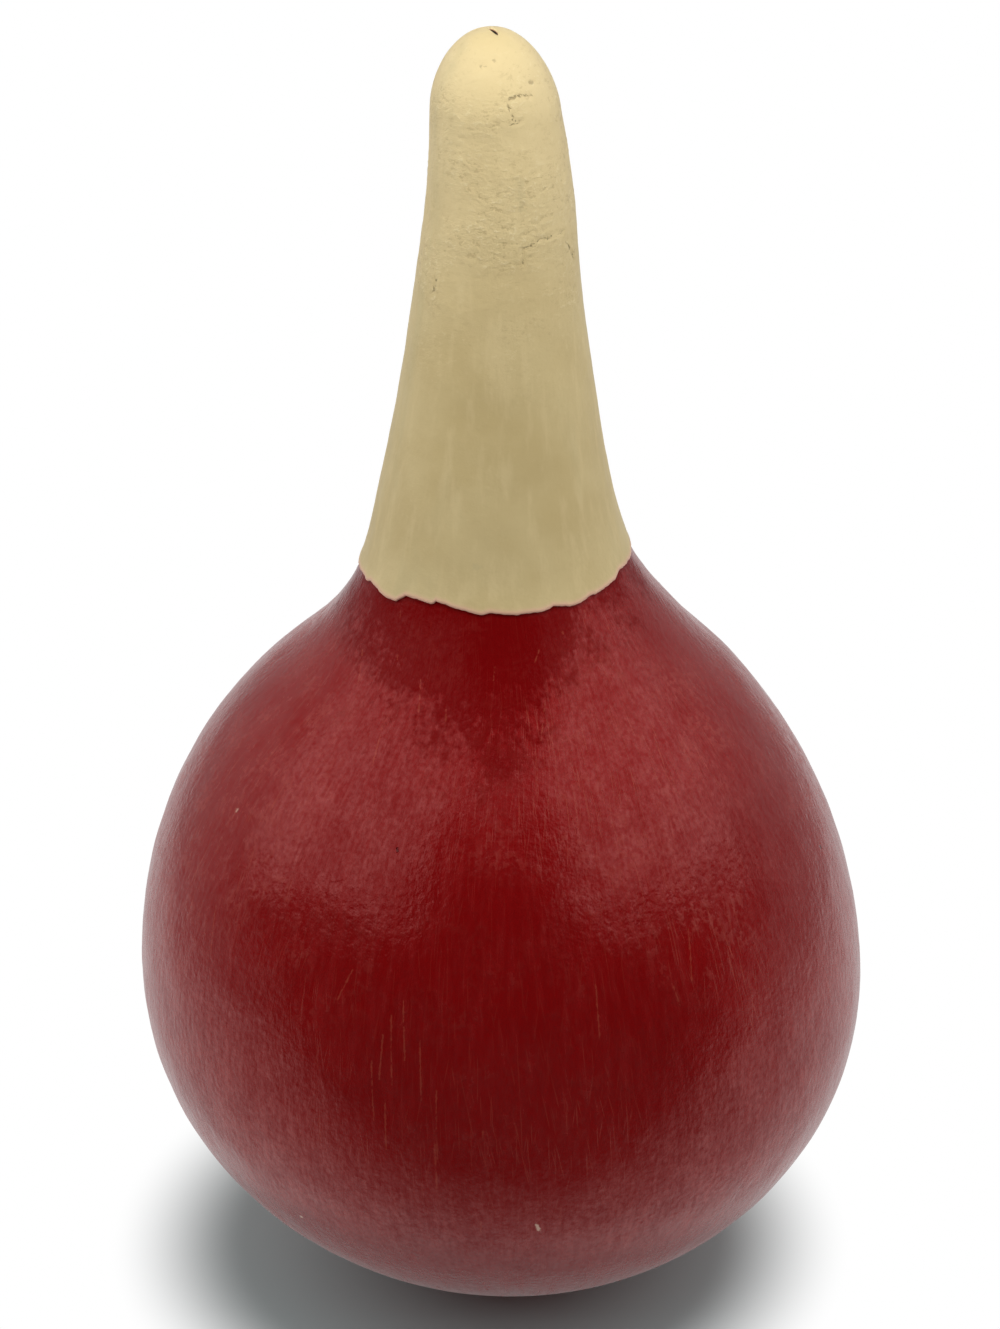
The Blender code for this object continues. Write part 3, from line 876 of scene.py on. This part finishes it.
def film_mesh():
    """Closed film: outer face from the stem scar to the torn edge, its lip, and its underside."""
    angle = (2 * math.pi * np.arange(COAT_COLUMNS) / COAT_COLUMNS)[:, None]
    foot = MERIDIAN.arc_at_height(edge_height(np.degrees(angle) + 90.0))
    scar = scar_reach(angle)
    share = np.linspace(0.0, 1.0, COAT_ROWS)[None, :]
    share = share - COAT_ROW_CROWDING * np.sin(2 * math.pi * share) / (2 * math.pi)
    arc = scar + share * (foot - scar)
    left = foot - arc
    bead = BEAD_HEIGHT * swell(left, BEAD_PLACE, BEAD_WIDTH)
    feather = FEATHER_SHARE * COAT_THICKNESS * np.exp(-left / FEATHER_LENGTH)
    sunk = SCAR_SINK_SHARE * COAT_THICKNESS * swell(arc, scar, SCAR_SINK_WIDTH)
    offset = COAT_THICKNESS + bead - feather - sunk
    outer = film_points(angle, arc, offset)
    for path in PAINT_CRACKS:
        gap = path_gap(outer, path)
        offset = offset - CRACK_DEPTH * swell(gap, 0.0, CRACK_WIDTH)
        offset = offset + CURL_HEIGHT * swell(gap, CURL_PLACE, CURL_WIDTH)
    for path in PAINT_SPECKS:
        offset = offset - SPECK_DEPTH * swell(path_gap(outer, path), 0.0, SPECK_WIDTH)
    outer = film_points(angle, arc, offset)
    lip = film_points(angle, foot + np.array([LIP_REACH]), np.array([LIP_LEVELS]) * COAT_THICKNESS)
    under_arc = scar + np.linspace(1.0, 0.0, COAT_UNDER_ROWS)[None, :] * (foot - scar)
    under = film_points(angle, under_arc, np.full(under_arc.shape, COAT_UNDERSIDE))
    points = np.concatenate([outer, lip, under], axis=1)
    rows = points.shape[1]
    column, row = np.meshgrid(np.arange(COAT_COLUMNS), np.arange(rows), indexing="ij")
    beside = (column + 1) % COAT_COLUMNS
    below = (row + 1) % rows
    corners = [column * rows + row, column * rows + below, beside * rows + below, beside * rows + row]
    mesh = bpy.data.meshes.new("film")
    mesh.from_pydata(points.reshape(-1, 3).tolist(), [], np.stack(corners, axis=-1).reshape(-1, 4).tolist())

    def keep(name, on_outer, elsewhere):
        values = np.full(points.shape[:2], elsewhere)
        values[:, :COAT_ROWS] = on_outer
        mesh.attributes.new(name, "FLOAT", "POINT").data.foreach_set("value", values.ravel())

    free = np.clip(left / LUMP_EDGE_GAP, 0.0, 1.0) * np.clip((arc - scar) / LUMP_SCAR_GAP, 0.0, 1.0)
    keep("skin", free, 0.0)
    keep("band", free * swell(outer[..., 2], WRINKLE_HEIGHT, WRINKLE_SPREAD), 0.0)
    # The torn rim, lip and underside take the edge's pink tint and painted highlight
    keep("torn_rim", TORN_RIM_STRENGTH * swell(left, 0.0, TORN_RIM_WIDTH), TORN_RIM_STRENGTH)
    return mesh


def weathered_film_tree():
    """Lumps over the whole film, and short crosswise wrinkles in the band where the skin has shrunk."""
    values = (("Lump", "Float"), ("Lump Fineness", "Float"), ("Wrinkle", "Float"), ("Seed", "Float"))
    tree, given = shape_tree("weathered_film", *values)
    noise = seeded_noise(tree, given["Seed"], given["Lump Fineness"], 2.0)
    below = maths(tree, "SUBTRACT", noise, LUMP_CEILING)
    lump = product(tree, below, given["Lump"], named(tree, "skin"))
    place = tree.nodes.new("GeometryNodeInputPosition").outputs[0]
    crosswise = vectors(tree, "MULTIPLY", place, WRINKLE_FINENESS)
    folds = maths(tree, "SUBTRACT", seeded_noise(tree, given["Seed"], 1.0, 2.0, crosswise), 0.5)
    ridges = step_between(tree, maths(tree, "ABSOLUTE", folds), (0.0, 0.07), (1.0, 0.0))
    patches = step_between(tree, seeded_noise(tree, given["Seed"], 170.0, 1.0), (0.45, 0.62))
    wrinkle = product(tree, ridges, patches, named(tree, "band"), given["Wrinkle"])
    shape = pushed_out(tree, given["Shape"], maths(tree, "ADD", wrinkle, lump))
    return end_tree(tree, shape, given["Finish"])


def fit_in(piece, node):
    """Puts a piece in the gourd's body, in place of a solid."""
    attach(piece, "gourd")
    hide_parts(node)


def dress_node(name, material):
    """Gives a solid that keeps its own shape a worked finish."""
    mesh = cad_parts[name].data
    mesh.materials.clear()
    mesh.materials.append(material)


# Studio

def make_floor():
    """A pale floor that keeps the contact shadow and is white to the camera away from it.

    In gloss it is bright behind the fruit and dark in front of it.
    """
    mesh = bpy.data.meshes.new("studio_floor")
    corners = [(FLOOR_REACH * x, FLOOR_REACH * y, 0) for x, y in ((-1, -1), (1, -1), (1, 1), (-1, 1))]
    mesh.from_pydata(corners, [], [(0, 1, 2, 3)])
    material, tree, shader = new_finish("pale_floor")
    tree.nodes.remove(shader)
    matt = add_node(tree, "ShaderNodeBsdfDiffuse")
    glow = add_node(tree, "ShaderNodeEmission")
    place = add_node(tree, "ShaderNodeTexCoord").outputs["Object"]
    path = add_node(tree, "ShaderNodeLightPath").outputs
    seen = path["Is Camera Ray"]
    shine = maths(tree, "MAXIMUM", path["Is Glossy Ray"], path["Is Transmission Ray"])
    dull = maths(tree, "SUBTRACT", 1.0, maths(tree, "MAXIMUM", seen, shine))

    tone = maths(tree, "SUBTRACT", FLOOR_TONE, maths(tree, "MULTIPLY", seen, FLOOR_TONE - SHADOW_TONE))
    red = maths(tree, "MULTIPLY", tone, SHADOW_RED_SHARE)
    feed(tree, matt.inputs["Color"], vector_of(tree, red, tone, tone))

    side, back, _ = parts_of(tree, place)
    aside = maths(tree, "ABSOLUTE", side)
    swept = maths(tree, "MULTIPLY_ADD", aside, MIRRORED_SWEEP, back)
    mirrored = product(
        tree,
        step_between(tree, swept, MIRRORED_BACK, MIRRORED_GLOW),
        step_between(tree, aside, MIRRORED_SIDE, MIRRORED_SIDE_SHARE),
    )
    level = maths(tree, "MULTIPLY_ADD", shine, mirrored, maths(tree, "MULTIPLY", dull, FLOOR_FILL))
    feed(tree, glow.inputs["Strength"], maths(tree, "ADD", level, seen))

    distance = vectors(tree, "LENGTH", vectors(tree, "SUBTRACT", place, SHADOW_MIDDLE), result="Value")
    white = step_between(tree, distance, SHADOW_FADE)
    share = maths(tree, "MAXIMUM", white, maths(tree, "MULTIPLY", shine, MIRRORED_NEAR_SHARE))
    mix = add_node(tree, "ShaderNodeMixShader")
    feed_in_order(tree, mix, (share, matt.outputs[0], glow.outputs[0]))
    feed(tree, tree.nodes["Material Output"].inputs["Surface"], mix.outputs[0])
    mesh.materials.append(material)
    floor = bpy.data.objects.new("studio_floor", mesh)
    bpy.context.scene.collection.objects.link(floor)


def make_panel(name, direction, run, size, power, distance, mirrored_in_gloss=True):
    """A soft panel that faces the fruit from a direction, with its length along a run."""
    light = bpy.data.lights.new(name, "AREA")
    light.shape = "RECTANGLE"
    light.size, light.size_y = size
    light.energy = power
    panel = bpy.data.objects.new(name, light)
    back = Vector(direction).normalized()
    across = Vector(run).cross(back).normalized()
    along = back.cross(across)
    turn = Matrix((along, -across, back)).transposed().to_4x4()
    panel.matrix_world = Matrix.Translation(Vector(LIGHT_AIM) + back * distance) @ turn
    panel.visible_glossy = mirrored_in_gloss
    panel.visible_camera = False
    bpy.context.scene.collection.objects.link(panel)


def make_lights():
    """Two large panels at the sides, which the lacquer mirrors, and a small one above for the tip."""
    for name, side in (("left_panel", -1), ("right_panel", 1)):
        direction = (side * PANEL_DIRECTION[0], *PANEL_DIRECTION[1:])
        run = (side * PANEL_RUN[0], *PANEL_RUN[1:])
        make_panel(name, direction, run, PANEL_SIZE, PANEL_POWER, PANEL_DISTANCE)
    make_panel("top_panel", TOP_DIRECTION, TOP_RUN, TOP_SIZE, TOP_POWER, TOP_DISTANCE,
               mirrored_in_gloss=False)


def make_world():
    """White to the camera, with fill from behind.

    Gloss mirrors a bright sweep behind the fruit and a dark room in front of it.
    """
    world = bpy.data.worlds.new("studio")
    bpy.context.scene.world = world
    world.use_nodes = True
    tree = world.node_tree
    aim = add_node(tree, "ShaderNodeTexCoord").outputs["Generated"]
    _, back, up = parts_of(tree, aim)
    path = add_node(tree, "ShaderNodeLightPath").outputs
    gloss = path["Is Glossy Ray"]
    seen = maths(tree, "MAXIMUM", path["Is Camera Ray"], path["Is Transmission Ray"])

    behind = step_between(tree, back, SWEEP_BACK)
    low = step_between(tree, up, SWEEP_UP, (1.0, 0.0))
    sweep = step_between(tree, product(tree, behind, low), (0.0, 1.0), SWEEP_GLOW)
    overhead = vectors(tree, "DOT_PRODUCT", aim, OVERHEAD_DIRECTION, result="Value")
    overhead = step_between(tree, overhead, OVERHEAD_LIMITS, (0.0, OVERHEAD_GLOW))
    mirrored = maths(tree, "ADD", sweep, overhead)

    wide = product(tree, step_between(tree, back, FILL_BACK), step_between(tree, up, FILL_UP, (1.0, 0.0)))
    fill = maths(tree, "MULTIPLY_ADD", wide, BACK_FILL, ROOM_FILL)
    dull = maths(tree, "MULTIPLY", maths(tree, "SUBTRACT", 1.0, gloss), fill)
    level = maths(tree, "MULTIPLY_ADD", gloss, mirrored, dull)
    backdrop = tree.nodes["Background"]
    feed(tree, backdrop.inputs["Color"], (1.0, 1.0, 1.0))
    feed(tree, backdrop.inputs["Strength"], maths(tree, "MAXIMUM", seen, level))


def make_camera():
    data = bpy.data.cameras.new("photo_camera")
    data.lens = CAMERA_LENS
    data.sensor_width = CAMERA_SENSOR
    camera = bpy.data.objects.new("photo_camera", data)
    turn = Matrix.Rotation(CAMERA_PITCH, 4, "X") @ Matrix.Rotation(CAMERA_ROLL, 4, "Z")
    camera.matrix_world = Matrix.Translation(CAMERA_PLACE) @ turn
    bpy.context.scene.collection.objects.link(camera)
    bpy.context.scene.camera = camera


make_camera()
make_floor()
make_lights()
make_world()
rind = grow("lacquered_rind", rind_profile(), turned_rind_tree(),
            steps=300, ripple=0.0005, fineness=105.0, seed=4.0, finish=red_lacquer())
fit_in(rind, "gourd_shell")
coat = grow("cream_paint_coat", film_mesh(), weathered_film_tree(),
            lump=0.0005, lump_fineness=95.0, wrinkle=0.00009, seed=2.0, finish=cream_paint())
fit_in(coat, "neck_paint_coat")
dress_node("stem_stub", dry_fibre("dry_stem", *STEM_TONES, scale=900.0, rough=0.8))
seed_skin = dry_fibre("dry_seed", *SEED_TONES, scale=700.0, rough=0.5)
for node_name in sorted(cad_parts):
    if node_name.startswith("seed_"):
        dress_node(node_name, seed_skin)
bpy.context.scene.view_settings.view_transform = "Standard"
